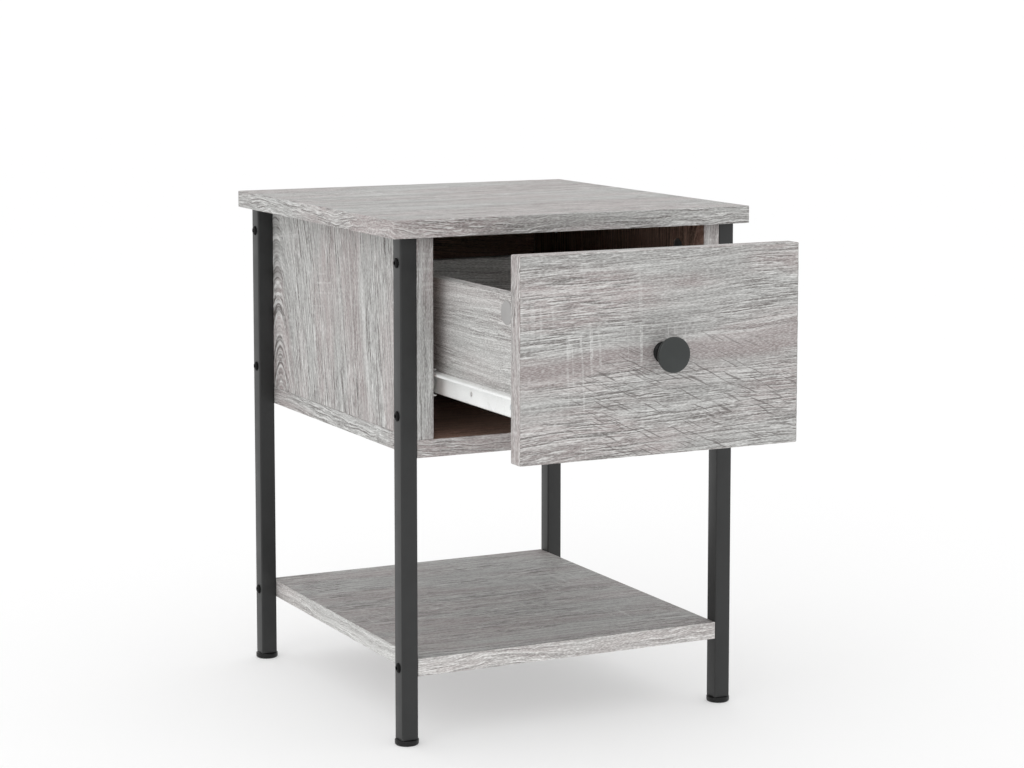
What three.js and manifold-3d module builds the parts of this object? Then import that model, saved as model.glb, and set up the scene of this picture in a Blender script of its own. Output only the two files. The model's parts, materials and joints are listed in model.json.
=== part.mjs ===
// Side table with one drawer. Four square steel tubes carry a board box, a top board above it
// and a low shelf under it. The drawer runs on steel slides with plastic rollers.
// Millimetres. +Z is up, +X is to the right seen from the front, and the front faces -Y.
// Lengths along Y are given from the front face of the front legs, which is y = 0 in the table's
// own group. That group is then moved so that the whole part's box is centred on X and Y.
import * as THREE from "three";
import { mergeVertices } from "three/addons/utils/BufferGeometryUtils.js";
import Module from "manifold-3d";

const wasm = await Module();
wasm.setup();

// ---- Driving dimensions ----
const TOP_WIDTH = 340;
const TOP_DEPTH = 360;
const TOTAL_HEIGHT = 445;
const BOARD = 15;
const OVERHANG = 10;
const TUBE = 15;
const TUBE_WALL = 1;
const TUBE_CORNER = 1.6;
const GLIDE_HEIGHT = 5;
const GLIDE_RADIUS = 10.25;
const GLIDE_EDGE = 1.2;
const GLIDE_CHAMFER = 0.5;
const PLUG_GAP = 0.3;
const PLUG_LENGTH = 12;
const BOX_FLOOR_Z = 245;
const SHELF_Z = 59;
const DRAWER_OPEN = 155;
const KNOB_LENGTH = 21;
const KNOB_Z = 344.75;

// ---- Worked out from them ----
const FRAME_HALF = TOP_WIDTH / 2 - OVERHANG;
const FRAME_DEPTH = TOP_DEPTH - 2 * OVERHANG;
const BOARD_HALF = FRAME_HALF - TUBE;
const INNER_HALF = BOARD_HALF - BOARD;
const TOP_Z = TOTAL_HEIGHT - BOARD;
const INNER_FLOOR_Z = BOX_FLOOR_Z + BOARD;
const FRONT_REACH = DRAWER_OPEN + KNOB_LENGTH;
const CENTRE_Y = (TOP_DEPTH - OVERHANG - FRONT_REACH) / 2;

// The drawer's front is inset, with a narrow gap all round.
const FRONT_GAP = 2;
const FRONT_TOP_GAP = 2.5;
const FRONT_HALF = INNER_HALF - FRONT_GAP;
const FRONT_BOTTOM = INNER_FLOOR_Z + FRONT_GAP;
const FRONT_TOP = TOP_Z - FRONT_TOP_GAP;

// The drawer's box hangs between the slides behind its front.
const SLIDE_GAP = 12.5;
const BOX_HALF = INNER_HALF - SLIDE_GAP;
const BOX_BOARD = 12;
const BOX_LENGTH = 300;
const BOX_Z = 296;
const BOX_TOP = 393;
const BOX_FRONT_Y = BOARD;
const BOX_REAR_Y = BOX_FRONT_Y + BOX_LENGTH;
const GROOVE_Z = 308;
const GROOVE_HEIGHT = 3.4;
const GROOVE_DEPTH = 6;
const SHEET = 3;
const SHEET_SLACK = 0.5;

// Slides: pressed steel members, and a roller on a rivet at one end of each. "in" and "out" are
// measured outward from the drawer's side.
const STEEL = 1.2;
const CHANNEL_HEIGHT = 20.5;
const CHANNEL_IN = 2.2;
const CHANNEL_GAP = 0.2;
const SUPPORT_REACH = 10;
const FLANGE_OUT = 9.6;
const FLANGE_GAP = 0.1;
const LIP_THICK = 1;
const LIP_HEIGHT = 1.5;
const ROLLER_RADIUS = 9;
const ROLLER_RIM = 0.8;
const ROLLER_PLAY = 0.2;
const ROLLER_BORE = 2.1;
const ROLLER_IN = 2.8;
const ROLLER_OUT = 8.4;
const ROLLER_Z = 303.9;
const AXLE_SINK = 0.4;
const AXLE_RADIUS = 1.9;
const AXLE_HEAD = 2.9;
const AXLE_HEAD_LENGTH = 0.5;
const SHOULDER_RADIUS = 3;
const CABINET_SLIDE_Y = 17;
const FRONT_ROLLER_Y = 28;
const REAR_ROLLER_Y = BOX_REAR_Y - 12;
const SLIDE_HOLE = 2.5;
const DRAWER_SLIDE_HOLES = [31, 107, 183, 259];
const CABINET_SLIDE_HOLES = [60, 124, 188, 280];
const DRAWER_SCREW_Y = DRAWER_SLIDE_HOLES[0];
const CABINET_SCREW_Y = CABINET_SLIDE_HOLES[0];

// A cutting tool starts LEAD outside the face that it enters, and a bore ends BORE_END past its screw.
const LEAD = 1;
const BORE_END = 0.5;
const PILOT_CLEARANCE = 0.15;
const TUBE_HOLE_CLEARANCE = 0.3;
const FITTING_CLEARANCE = 0.2;
const COLLAR_CLEARANCE = 0.3;

// How many flats stand for a circle.
const SCREW_SIDES = 10;
const BORE_SIDES = 12;
const DISC_SIDES = 20;

// Fasteners and fittings
const LEG_SCREW_HEIGHTS = { upper: 408.5, middle: 280.5, lower: SHELF_Z + BOARD / 2 };
const LEG_SCREW_RADIUS = 2;
const LEG_SCREW_HEAD = 4.3;
const LEG_SCREW_DOME = 2.2;
const LEG_SCREW_SOCKET = 1.7;
const LEG_SCREW_SOCKET_FLOOR = 0.9;
const LEG_SCREW_POINT = 3;
const LEG_SCREW_IN_PANEL = 27;
const LEG_SCREW_IN_SHELF = 45;
const SLIDE_SCREW_RADIUS = 1.7;
const SLIDE_SCREW_HEAD = 3.2;
const CABINET_SCREW_HEAD_HEIGHT = 1.4;
const CABINET_SCREW_LENGTH = 12;
const DRAWER_SCREW_HEAD_HEIGHT = 0.7;
const DRAWER_SCREW_LENGTH = 10;
const PAN_EDGE = 0.4;
const SCREW_POINT = 2;
const SCREW_TIP = 0.6;
const CAM_RADIUS = 7.3;
const CAM_SLOT = 3.3;
const CAM_SLOT_PAST = 3;
const CAM_POCKET = 4;
const TOP_CAM_THICK = 12.4;
const TOP_CAM_REACH = 24;
const TOP_CAM_INSETS = { front: 45, rear: 280 };
const DRAWER_CAM_THICK = 9.4;
const DRAWER_CAM_REACH = 28;
const DRAWER_CAM_Z = 378;
const CAM_RECESS = 0.2;
const CAP_RADIUS = 9.6;
const CAP_THICK = 0.6;
const CAP_EDGE = 0.2;
const BOLT_BITE = 10.5;
const BOLT_THREAD = 2.4;
const BOLT_COLLAR = 3.5;
const BOLT_COLLAR_THICK = 2;
const BOLT_NECK = 2;
const BOLT_HEAD = 3;

// Knob
const FOOT_RADIUS = 8.2;
const FOOT_THICK = 1.2;
const NECK_RADIUS = 7.3;
const NECK_WAIST = 0.6;
const KNOB_RADIUS = 14.5;
const KNOB_RIM = 2.6;
const KNOB_DOME = 0.8;
const KNOB_SCREW_RADIUS = 1.95;
const KNOB_SCREW_HEAD = 4;
const KNOB_SCREW_HEAD_HEIGHT = 2;
const KNOB_SCREW_BITE = 10;

const SIDES = { left: -1, right: 1 };
const ENDS = { front: 0, rear: FRAME_DEPTH - TUBE };

// ---- Materials ----
function finish(color, roughness, metalness) {
  return () => new THREE.MeshStandardMaterial({ color, roughness, metalness });
}
const oak = finish(0xb1afad, 0.62, 0);
const drawerBoard = finish(0xb2b1b0, 0.65, 0);
const blackSteel = finish(0x2b2b2c, 0.5, 0.2);
const blackPlastic = finish(0x1b1b1c, 0.55, 0);
const greyKnob = finish(0x464948, 0.45, 0.1);
const whiteSteel = finish(0xe8ebe8, 0.4, 0.1);
const whitePlastic = finish(0xe6e6e0, 0.45, 0);
const blackScrew = finish(0x1c1c1d, 0.4, 0.7);
const zinc = finish(0xb9bcbf, 0.35, 0.9);
const capPlastic = finish(0xb4b3b1, 0.5, 0);
const hardboard = finish(0xa9a6a2, 0.7, 0);

// ---- Geometry helpers ----
const table = new THREE.Group();
const drawer = new THREE.Group();

function box(x0, x1, y0, y1, z0, z1) {
  const geometry = new THREE.BoxGeometry(Math.abs(x1 - x0), y1 - y0, z1 - z0);
  return geometry.translate((x0 + x1) / 2, (y0 + y1) / 2, (z0 + z1) / 2);
}

// A turned piece. The profile is a list of [radius, distance along the axis], and the axis starts
// at the given point and runs in the given direction.
function turned(profile, segments, at, direction) {
  const points = profile.map(([radius, along]) => new THREE.Vector2(radius, along));
  const geometry = new THREE.LatheGeometry(points, segments);
  const turn = new THREE.Quaternion().setFromUnitVectors(
    new THREE.Vector3(0, 1, 0),
    new THREE.Vector3(...direction),
  );
  return geometry.applyQuaternion(turn).translate(...at);
}

// The points of an arc about [radius, along], from one angle in degrees to another.
function arc([radius, along], bend, first, last, steps) {
  const points = [];
  for (let step = 0; step <= steps; step++) {
    const angle = THREE.MathUtils.degToRad(first + ((last - first) * step) / steps);
    points.push([radius + bend * Math.cos(angle), along + bend * Math.sin(angle)]);
  }
  return points;
}

function rod(radius, length, segments, at, direction) {
  return turned([[0, 0], [radius, 0], [radius, length], [0, length]], segments, at, direction);
}

// A section given as [x, z] points, carried along Y from y0 to y1.
function alongY(section, y0, y1) {
  const shape = new THREE.Shape(section.map(([x, z]) => new THREE.Vector2(x, z)));
  const geometry = new THREE.ExtrudeGeometry(shape, { depth: y1 - y0, bevelEnabled: false });
  return geometry.rotateX(Math.PI / 2).translate(0, y1, 0);
}

// The corner points of a square with rounded corners, centred on the origin.
function roundedSquare(half, radius, steps) {
  const points = [];
  for (let corner = 0; corner < 4; corner++) {
    const cx = (corner === 0 || corner === 3 ? 1 : -1) * (half - radius);
    const cy = (corner < 2 ? 1 : -1) * (half - radius);
    for (let step = 0; step <= steps; step++) {
      const angle = ((corner + step / steps) * Math.PI) / 2;
      points.push(new THREE.Vector2(cx + radius * Math.cos(angle), cy + radius * Math.sin(angle)));
    }
  }
  return points;
}

function solid(geometry) {
  const bare = geometry.clone();
  bare.deleteAttribute("normal");
  bare.deleteAttribute("uv");
  const merged = mergeVertices(bare, 1e-4);
  const mesh = new wasm.Mesh({
    numProp: 3,
    vertProperties: new Float32Array(merged.attributes.position.array),
    triVerts: new Uint32Array(merged.index.array),
  });
  return new wasm.Manifold(mesh);
}

function geometryOf(body) {
  const mesh = body.getMesh();
  const geometry = new THREE.BufferGeometry();
  geometry.setAttribute("position", new THREE.BufferAttribute(mesh.vertProperties, 3));
  geometry.setIndex(new THREE.BufferAttribute(mesh.triVerts, 1));
  geometry.computeVertexNormals();
  return geometry;
}

function cut(geometry, tools) {
  return geometryOf(tools.reduce((body, tool) => body.subtract(solid(tool)), solid(geometry)));
}

function join(geometry, others) {
  return geometryOf(others.reduce((body, other) => body.add(solid(other)), solid(geometry)));
}

function piece(name, geometry, material, group) {
  const mesh = new THREE.Mesh(geometry, material());
  mesh.name = name;
  group.add(mesh);
}

// ---- Holes that several pieces share ----
function legScrewHole(side, endY, z, radius, depth) {
  const start = [side * (FRAME_HALF + LEAD), endY + TUBE / 2, z];
  return rod(radius, depth + LEAD, SCREW_SIDES, start, [-side, 0, 0]);
}

function legScrewHoles(side, heights, radius, depth) {
  return Object.values(ENDS).flatMap((endY) =>
    heights.map((z) => legScrewHole(side, endY, z, radius, depth)),
  );
}

// ---- Steel frame ----
function leg(side, endY) {
  const outline = roundedSquare(TUBE / 2, TUBE_CORNER, 3);
  const bore = roundedSquare(TUBE / 2 - TUBE_WALL, TUBE_CORNER - TUBE_WALL, 1);
  const shape = new THREE.Shape(outline);
  shape.holes.push(new THREE.Path(bore));
  const tube = new THREE.ExtrudeGeometry(shape, {
    depth: TOP_Z - GLIDE_HEIGHT,
    bevelEnabled: false,
  });
  tube.translate(side * (FRAME_HALF - TUBE / 2), endY + TUBE / 2, GLIDE_HEIGHT);
  const holes = Object.values(LEG_SCREW_HEIGHTS).map((z) =>
    legScrewHole(side, endY, z, LEG_SCREW_RADIUS + TUBE_HOLE_CLEARANCE, TUBE + LEAD),
  );
  return cut(tube, holes);
}

function glide(side, endY) {
  const foot = [
    [0, 0],
    ...arc([GLIDE_RADIUS - GLIDE_EDGE, GLIDE_EDGE], GLIDE_EDGE, -90, 0, 3),
    [GLIDE_RADIUS, GLIDE_HEIGHT - GLIDE_CHAMFER],
    [GLIDE_RADIUS - GLIDE_CHAMFER, GLIDE_HEIGHT],
    [0, GLIDE_HEIGHT],
  ];
  const x = side * (FRAME_HALF - TUBE / 2);
  const y = endY + TUBE / 2;
  const half = TUBE / 2 - TUBE_WALL - PLUG_GAP;
  const plug = box(
    x - half, x + half, y - half, y + half, GLIDE_HEIGHT - LEAD, GLIDE_HEIGHT + PLUG_LENGTH,
  );
  return join(turned(foot, DISC_SIDES, [x, y, 0], [0, 0, 1]), [plug]);
}

// Domed head with a round socket, then a shank that ends in a blunt point.
function legScrew(side, endY, z, length) {
  const shank = LEG_SCREW_RADIUS;
  const head = LEG_SCREW_HEAD;
  const dome = LEG_SCREW_DOME;
  const profile = [
    [0, -length], [shank / 2, -length], [shank, -length + LEG_SCREW_POINT], [shank, 0], [head, 0],
    [head, dome * 0.25], [head * 0.88, dome * 0.6], [head * 0.7, dome * 0.88],
    [LEG_SCREW_SOCKET, dome], [LEG_SCREW_SOCKET, LEG_SCREW_SOCKET_FLOOR], [0, LEG_SCREW_SOCKET_FLOOR],
  ];
  return turned(profile, SCREW_SIDES, [side * FRAME_HALF, endY + TUBE / 2, z], [side, 0, 0]);
}

// ---- Board box, top and shelf ----
const PANEL_MIDDLE = INNER_HALF + BOARD / 2;

function slideScrewBore(length, start, direction) {
  const depth = LEAD + length - STEEL + BORE_END;
  return rod(SLIDE_SCREW_RADIUS + PILOT_CLEARANCE, depth, BORE_SIDES, start, direction);
}

function boltBore(start, direction) {
  const radius = BOLT_THREAD + FITTING_CLEARANCE;
  return rod(radius, LEAD + BOLT_BITE + BORE_END, BORE_SIDES, start, direction);
}

function camBore(side, y) {
  const start = [side * (INNER_HALF - LEAD), y, TOP_Z - TOP_CAM_REACH];
  const depth = LEAD + CAM_RECESS + TOP_CAM_THICK + FITTING_CLEARANCE;
  return rod(CAM_RADIUS + FITTING_CLEARANCE, depth, DISC_SIDES, start, [side, 0, 0]);
}

function camBoltBore(side, y) {
  const start = [side * PANEL_MIDDLE, y, TOP_Z + LEAD];
  const radius = BOLT_COLLAR + COLLAR_CLEARANCE;
  return rod(radius, TOP_CAM_REACH + LEAD, BORE_SIDES, start, [0, 0, -1]);
}

function sidePanel(side) {
  const panel = box(
    side * INNER_HALF, side * BOARD_HALF, 0, FRAME_DEPTH, INNER_FLOOR_Z, TOP_Z,
  );
  const heights = [LEG_SCREW_HEIGHTS.upper, LEG_SCREW_HEIGHTS.middle];
  const radius = LEG_SCREW_RADIUS + PILOT_CLEARANCE;
  const tools = legScrewHoles(side, heights, radius, LEG_SCREW_IN_PANEL + BORE_END);
  for (const y of Object.values(TOP_CAM_INSETS)) {
    tools.push(camBore(side, y), camBoltBore(side, y));
  }
  const start = [side * (INNER_HALF - LEAD), CABINET_SCREW_Y, ROLLER_Z];
  tools.push(slideScrewBore(CABINET_SCREW_LENGTH, start, [side, 0, 0]));
  return cut(panel, tools);
}

function topBoard() {
  const half = TOP_WIDTH / 2;
  const board = box(-half, half, -OVERHANG, TOP_DEPTH - OVERHANG, TOP_Z, TOTAL_HEIGHT);
  const tools = [];
  for (const side of Object.values(SIDES)) {
    for (const y of Object.values(TOP_CAM_INSETS)) {
      tools.push(boltBore([side * PANEL_MIDDLE, y, TOP_Z - LEAD], [0, 0, 1]));
    }
  }
  return cut(board, tools);
}

function lowerShelf() {
  const board = box(-BOARD_HALF, BOARD_HALF, 0, FRAME_DEPTH, SHELF_Z, SHELF_Z + BOARD);
  const radius = LEG_SCREW_RADIUS + PILOT_CLEARANCE;
  const tools = Object.values(SIDES).flatMap((side) =>
    legScrewHoles(side, [LEG_SCREW_HEIGHTS.lower], radius, LEG_SCREW_IN_SHELF + BORE_END),
  );
  return cut(board, tools);
}

// ---- Knock-down fittings ----
// A cam is a thick disc with a slot from its rim to past its middle, which takes the bolt's head.
function cam(thick, boltDepth, at, axis, towards) {
  const disc = rod(CAM_RADIUS, thick, DISC_SIDES, at, axis);
  const middle = at.map((value, i) => value + axis[i] * boltDepth);
  const slot = rod(CAM_SLOT, CAM_RADIUS + CAM_SLOT_PAST, SCREW_SIDES, middle, towards);
  const ball = arc([0, 0], CAM_POCKET, -90, 90, 6);
  return cut(disc, [slot, turned(ball, BORE_SIDES, middle, towards)]);
}

// A cam bolt: screwed end in the board, collar on its face, thin neck and a round head in the cam.
function camBolt(reach, at, direction) {
  const top = reach + 1;
  const profile = [
    [0, -BOLT_BITE], [BOLT_THREAD, -BOLT_BITE], [BOLT_THREAD, 0], [BOLT_COLLAR, 0],
    [BOLT_COLLAR, BOLT_COLLAR_THICK], [BOLT_NECK, BOLT_COLLAR_THICK], [BOLT_NECK, top - 4],
    [BOLT_HEAD, top - 3], [BOLT_HEAD, top - 1], [BOLT_NECK, top], [0, top],
  ];
  return turned(profile, 8, at, direction);
}

// ---- Slides ----
// Turns lengths outward from the drawer's side into points of a section on one side of the table.
function outward(side, points) {
  return points.map(([out, z]) => [side * (BOX_HALF + out), z]);
}

function slideHoles(side, holes, out) {
  return holes.map((y) => {
    const start = [side * (BOX_HALF + out - LEAD), y, ROLLER_Z];
    return rod(SLIDE_HOLE, STEEL + 2 * LEAD, BORE_SIDES, start, [side, 0, 0]);
  });
}

// A roller's axle: a shoulder on the web, a pin through the roller and a head past it. near and far
// are the roller's two faces, measured from the web.
function axle(near, far, at, direction) {
  const shoulder = near - ROLLER_PLAY;
  const reach = far + ROLLER_PLAY;
  const tip = reach + AXLE_HEAD_LENGTH;
  const profile = [
    [0, -AXLE_SINK], [SHOULDER_RADIUS, -AXLE_SINK], [SHOULDER_RADIUS, shoulder],
    [AXLE_RADIUS, shoulder], [AXLE_RADIUS, reach], [AXLE_HEAD, reach], [AXLE_HEAD, tip], [0, tip],
  ];
  return turned(profile, 16, at, direction);
}

// The member on the cabinet is a channel, open towards the drawer.
function cabinetSlide(side) {
  const web = SLIDE_GAP - STEEL;
  const low = ROLLER_Z - ROLLER_RADIUS - CHANNEL_GAP;
  const high = low + CHANNEL_HEIGHT;
  const section = outward(side, [
    [SLIDE_GAP, low - STEEL], [SLIDE_GAP, high + STEEL], [CHANNEL_IN, high + STEEL],
    [CHANNEL_IN, high], [web, high], [web, low], [CHANNEL_IN, low], [CHANNEL_IN, low - STEEL],
  ]);
  const channel = alongY(section, CABINET_SLIDE_Y, CABINET_SLIDE_Y + BOX_LENGTH);
  const holed = cut(channel, slideHoles(side, CABINET_SLIDE_HOLES, web));
  const at = [side * (BOX_HALF + web), FRONT_ROLLER_Y, ROLLER_Z];
  return join(holed, [axle(web - ROLLER_OUT, web - ROLLER_IN, at, [-side, 0, 0])]);
}

// The member on the drawer wraps under its side, and its top flange runs on the cabinet's roller.
function drawerSlide(side) {
  const low = BOX_Z - STEEL;
  const flange = ROLLER_Z + ROLLER_RADIUS + FLANGE_GAP;
  const lipIn = FLANGE_OUT - LIP_THICK;
  const lipLow = flange - LIP_HEIGHT;
  const section = outward(side, [
    [-SUPPORT_REACH, low], [STEEL, low], [STEEL, flange], [lipIn, flange], [lipIn, lipLow],
    [FLANGE_OUT, lipLow], [FLANGE_OUT, flange + STEEL], [0, flange + STEEL], [0, BOX_Z],
    [-SUPPORT_REACH, BOX_Z],
  ]);
  const member = alongY(section, BOX_FRONT_Y, BOX_REAR_Y);
  const holed = cut(member, slideHoles(side, DRAWER_SLIDE_HOLES, 0));
  const at = [side * (BOX_HALF + STEEL), REAR_ROLLER_Y, ROLLER_Z];
  return join(holed, [axle(ROLLER_IN - STEEL, ROLLER_OUT - STEEL, at, [side, 0, 0])]);
}

// A wheel with a bore and rounded rims.
function roller(side, y) {
  const wide = ROLLER_OUT - ROLLER_IN;
  const face = ROLLER_RADIUS - ROLLER_RIM;
  const profile = [
    [ROLLER_BORE, 0], [face, 0], [ROLLER_RADIUS, ROLLER_RIM], [ROLLER_RADIUS, wide - ROLLER_RIM],
    [face, wide], [ROLLER_BORE, wide], [ROLLER_BORE, 0],
  ];
  return turned(profile, DISC_SIDES, [side * (BOX_HALF + ROLLER_IN), y, ROLLER_Z], [side, 0, 0]);
}

// A flat-headed screw. The head lies on a face at the given point, and the shank goes along.
function panScrew(headRadius, headHeight, radius, length, at, direction) {
  const profile = [
    [0, -headHeight], [headRadius - PAN_EDGE, -headHeight], [headRadius, 0], [radius, 0],
    [radius, length - SCREW_POINT], [SCREW_TIP, length], [0, length],
  ];
  return turned(profile, SCREW_SIDES, at, direction);
}

function slideScrew(headHeight, length, at, direction) {
  return panScrew(SLIDE_SCREW_HEAD, headHeight, SLIDE_SCREW_RADIUS, length, at, direction);
}

// ---- Drawer ----
const INSIDE_HALF = BOX_HALF - BOX_BOARD;
const GROOVE_HALF = INSIDE_HALF + GROOVE_DEPTH;
const DRAWER_BACK_Y = BOX_REAR_Y - BOX_BOARD;
const BOX_MIDDLE = BOX_HALF - BOX_BOARD / 2;

function groove() {
  const front = BOX_FRONT_Y - GROOVE_DEPTH;
  const rear = DRAWER_BACK_Y + GROOVE_DEPTH;
  return box(-GROOVE_HALF, GROOVE_HALF, front, rear, GROOVE_Z, GROOVE_Z + GROOVE_HEIGHT);
}

function drawerCamBore(side) {
  const start = [side * (BOX_HALF + LEAD), BOX_FRONT_Y + DRAWER_CAM_REACH, DRAWER_CAM_Z];
  const depth = LEAD + CAM_RECESS + DRAWER_CAM_THICK + FITTING_CLEARANCE;
  return rod(CAM_RADIUS + FITTING_CLEARANCE, depth, DISC_SIDES, start, [-side, 0, 0]);
}

function drawerSide(side) {
  const panel = box(
    side * INSIDE_HALF, side * BOX_HALF, BOX_FRONT_Y, BOX_REAR_Y, BOX_Z, BOX_TOP,
  );
  const bolt = [side * BOX_MIDDLE, BOX_FRONT_Y - LEAD, DRAWER_CAM_Z];
  const radius = BOLT_COLLAR + COLLAR_CLEARANCE;
  const screw = [side * (BOX_HALF + LEAD), DRAWER_SCREW_Y, ROLLER_Z];
  return cut(panel, [
    groove(),
    drawerCamBore(side),
    rod(radius, DRAWER_CAM_REACH + LEAD, BORE_SIDES, bolt, [0, 1, 0]),
    slideScrewBore(DRAWER_SCREW_LENGTH, screw, [-side, 0, 0]),
  ]);
}

function drawerFront() {
  const board = box(-FRONT_HALF, FRONT_HALF, 0, BOARD, FRONT_BOTTOM, FRONT_TOP);
  const radius = KNOB_SCREW_RADIUS + TUBE_HOLE_CLEARANCE;
  const knobHole = rod(radius, BOARD + 2 * LEAD, BORE_SIDES, [0, -LEAD, KNOB_Z], [0, 1, 0]);
  const tools = [groove(), knobHole];
  for (const side of Object.values(SIDES)) {
    tools.push(boltBore([side * BOX_MIDDLE, BOARD + LEAD, DRAWER_CAM_Z], [0, -1, 0]));
  }
  return cut(board, tools);
}

function drawerBack() {
  const board = box(-INSIDE_HALF, INSIDE_HALF, DRAWER_BACK_Y, BOX_REAR_Y, BOX_Z, BOX_TOP);
  return cut(board, [groove()]);
}

// A mushroom knob: a round foot, a waisted neck and a wide, slightly domed face.
function knob() {
  const rimMiddle = [KNOB_RADIUS - KNOB_RIM, KNOB_LENGTH - KNOB_DOME - KNOB_RIM];
  const profile = [
    [0, 0], [FOOT_RADIUS, 0], [FOOT_RADIUS, FOOT_THICK], [NECK_RADIUS, 3],
    [NECK_RADIUS - NECK_WAIST, 7], [NECK_RADIUS + NECK_WAIST, 11], [KNOB_RADIUS - 3, 14.2],
    ...arc(rimMiddle, KNOB_RIM, 0, 90, 4),
    [KNOB_RADIUS * 0.5, KNOB_LENGTH - KNOB_DOME / 4], [0, KNOB_LENGTH],
  ];
  const radius = KNOB_SCREW_RADIUS + FITTING_CLEARANCE;
  const depth = LEAD + KNOB_SCREW_BITE + BORE_END;
  const bore = rod(radius, depth, BORE_SIDES, [0, LEAD, KNOB_Z], [0, -1, 0]);
  return cut(turned(profile, 24, [0, 0, KNOB_Z], [0, -1, 0]), [bore]);
}

// ---- The frame's nodes ----
function addFrame() {
  for (const [sideName, side] of Object.entries(SIDES)) {
    for (const [endName, endY] of Object.entries(ENDS)) {
      const corner = endName + "_" + sideName;
      piece("leg_" + corner, leg(side, endY), blackSteel, table);
      piece("glide_" + corner, glide(side, endY), blackPlastic, table);
      for (const [height, z] of Object.entries(LEG_SCREW_HEIGHTS)) {
        const length = height === "lower" ? LEG_SCREW_IN_SHELF : LEG_SCREW_IN_PANEL;
        const name = "leg_screw_" + corner + "_" + height;
        piece(name, legScrew(side, endY, z, length), blackScrew, table);
      }
    }
  }
}

function addCabinet() {
  piece("top_board", topBoard(), oak, table);
  piece("lower_shelf", lowerShelf(), oak, table);
  const floor = box(-BOARD_HALF, BOARD_HALF, 0, FRAME_DEPTH, BOX_FLOOR_Z, INNER_FLOOR_Z);
  piece("bottom_panel", floor, oak, table);
  const back = box(
    -INNER_HALF, INNER_HALF, FRAME_DEPTH - BOARD, FRAME_DEPTH, INNER_FLOOR_Z, TOP_Z,
  );
  piece("back_panel", back, oak, table);
  for (const [sideName, side] of Object.entries(SIDES)) {
    piece("side_panel_" + sideName, sidePanel(side), oak, table);
    for (const [endName, y] of Object.entries(TOP_CAM_INSETS)) {
      const at = [side * (INNER_HALF + CAM_RECESS), y, TOP_Z - TOP_CAM_REACH];
      const lock = cam(TOP_CAM_THICK, BOARD / 2 - CAM_RECESS, at, [side, 0, 0], [0, 0, 1]);
      piece("top_cam_" + endName + "_" + sideName, lock, zinc, table);
      const bolt = camBolt(TOP_CAM_REACH, [side * PANEL_MIDDLE, y, TOP_Z], [0, 0, -1]);
      piece("top_cam_bolt_" + endName + "_" + sideName, bolt, zinc, table);
    }
  }
}

function addCabinetSlides() {
  for (const [sideName, side] of Object.entries(SIDES)) {
    piece("cabinet_slide_" + sideName, cabinetSlide(side), whiteSteel, table);
    piece("cabinet_roller_" + sideName, roller(side, FRONT_ROLLER_Y), whitePlastic, table);
    const at = [side * (BOX_HALF + SLIDE_GAP - STEEL), CABINET_SCREW_Y, ROLLER_Z];
    const screw = slideScrew(CABINET_SCREW_HEAD_HEIGHT, CABINET_SCREW_LENGTH, at, [side, 0, 0]);
    piece("cabinet_slide_screw_" + sideName, screw, zinc, table);
  }
}

// ---- The drawer's nodes, shut in its own group, which stands open by DRAWER_OPEN ----
function addDrawer() {
  piece("drawer_front", drawerFront(), oak, drawer);
  piece("drawer_back", drawerBack(), drawerBoard, drawer);
  const half = GROOVE_HALF - SHEET_SLACK;
  const low = GROOVE_Z + (GROOVE_HEIGHT - SHEET) / 2;
  const sheet = box(
    -half, half, BOX_FRONT_Y - GROOVE_DEPTH + SHEET_SLACK,
    DRAWER_BACK_Y + GROOVE_DEPTH - SHEET_SLACK, low, low + SHEET,
  );
  piece("drawer_bottom", sheet, hardboard, drawer);
  piece("drawer_knob", knob(), greyKnob, drawer);
  const knobScrew = panScrew(
    KNOB_SCREW_HEAD, KNOB_SCREW_HEAD_HEIGHT, KNOB_SCREW_RADIUS, BOARD + KNOB_SCREW_BITE,
    [0, BOARD, KNOB_Z], [0, -1, 0],
  );
  piece("knob_screw", knobScrew, zinc, drawer);
  for (const [sideName, side] of Object.entries(SIDES)) {
    piece("drawer_side_" + sideName, drawerSide(side), drawerBoard, drawer);
    piece("drawer_slide_" + sideName, drawerSlide(side), whiteSteel, drawer);
    piece("drawer_roller_" + sideName, roller(side, REAR_ROLLER_Y), whitePlastic, drawer);
    const screwAt = [side * (BOX_HALF + STEEL), DRAWER_SCREW_Y, ROLLER_Z];
    const screw = slideScrew(DRAWER_SCREW_HEAD_HEIGHT, DRAWER_SCREW_LENGTH, screwAt, [-side, 0, 0]);
    piece("drawer_slide_screw_" + sideName, screw, zinc, drawer);
    const camY = BOX_FRONT_Y + DRAWER_CAM_REACH;
    const camAt = [side * (BOX_HALF - CAM_RECESS), camY, DRAWER_CAM_Z];
    const boltDepth = BOX_BOARD / 2 - CAM_RECESS;
    const lock = cam(DRAWER_CAM_THICK, boltDepth, camAt, [-side, 0, 0], [0, -1, 0]);
    piece("drawer_cam_" + sideName, lock, zinc, drawer);
    const cap = turned(
      [[0, 0], [CAP_RADIUS, 0], [CAP_RADIUS - CAP_EDGE, CAP_THICK], [0, CAP_THICK]],
      24, [side * BOX_HALF, camY, DRAWER_CAM_Z], [side, 0, 0],
    );
    piece("drawer_cam_cap_" + sideName, cap, capPlastic, drawer);
    const boltAt = [side * BOX_MIDDLE, BOX_FRONT_Y, DRAWER_CAM_Z];
    piece("drawer_cam_bolt_" + sideName, camBolt(DRAWER_CAM_REACH, boltAt, [0, 1, 0]), zinc, drawer);
  }
}

addFrame();
addCabinet();
addCabinetSlides();
addDrawer();
drawer.position.y = -DRAWER_OPEN;
table.add(drawer);
table.position.y = -CENTRE_Y;

const part = new THREE.Group();
part.add(table);
export default part;
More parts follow.
